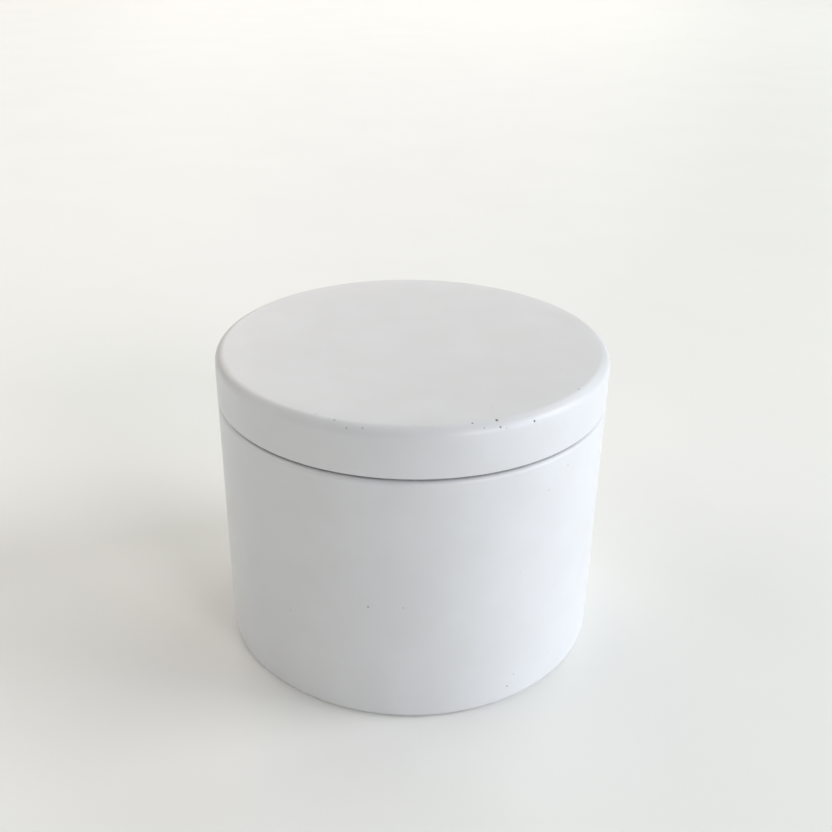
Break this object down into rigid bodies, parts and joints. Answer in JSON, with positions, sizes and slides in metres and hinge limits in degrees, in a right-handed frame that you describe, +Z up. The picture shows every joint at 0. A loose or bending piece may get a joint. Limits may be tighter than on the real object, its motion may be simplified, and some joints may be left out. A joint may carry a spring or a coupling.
{
  "type": "candle tin",
  "caption": "Round seamless candle tin with a flush slip-on lid, holding a poured candle: wax, braided wick, stamped sustainer and adhesive disc.",
  "frame": {"origin": "centre of the base, on the surface that the tin stands on", "axes": "+Z up along the tin's axis, out through the lid; the tin is the same all round, so +X and +Y are any two level directions"},
  "size_m": [0.077, 0.077, 0.0615],
  "materials": {
    "tin_coat": "satin",
    "lid_coat": "satin",
    "wax": "satin",
    "wick_cotton": "matte",
    "bare_tinplate": "satin",
    "adhesive_foam": "matte"
  },
  "bodies": {
    "tin": {"tin_body": "tin_coat", "wax": "wax", "wick": "wick_cotton", "wick_sustainer": "bare_tinplate", "wick_sticker": "adhesive_foam"},
    "lid": {"lid": "lid_coat"}
  },
  "joints": [
    {"name": "lid_lift", "type": "slide", "parent": "tin", "child": "lid", "axis": [0, 0, 1], "range_m": [0, 0.06]}
  ]
}
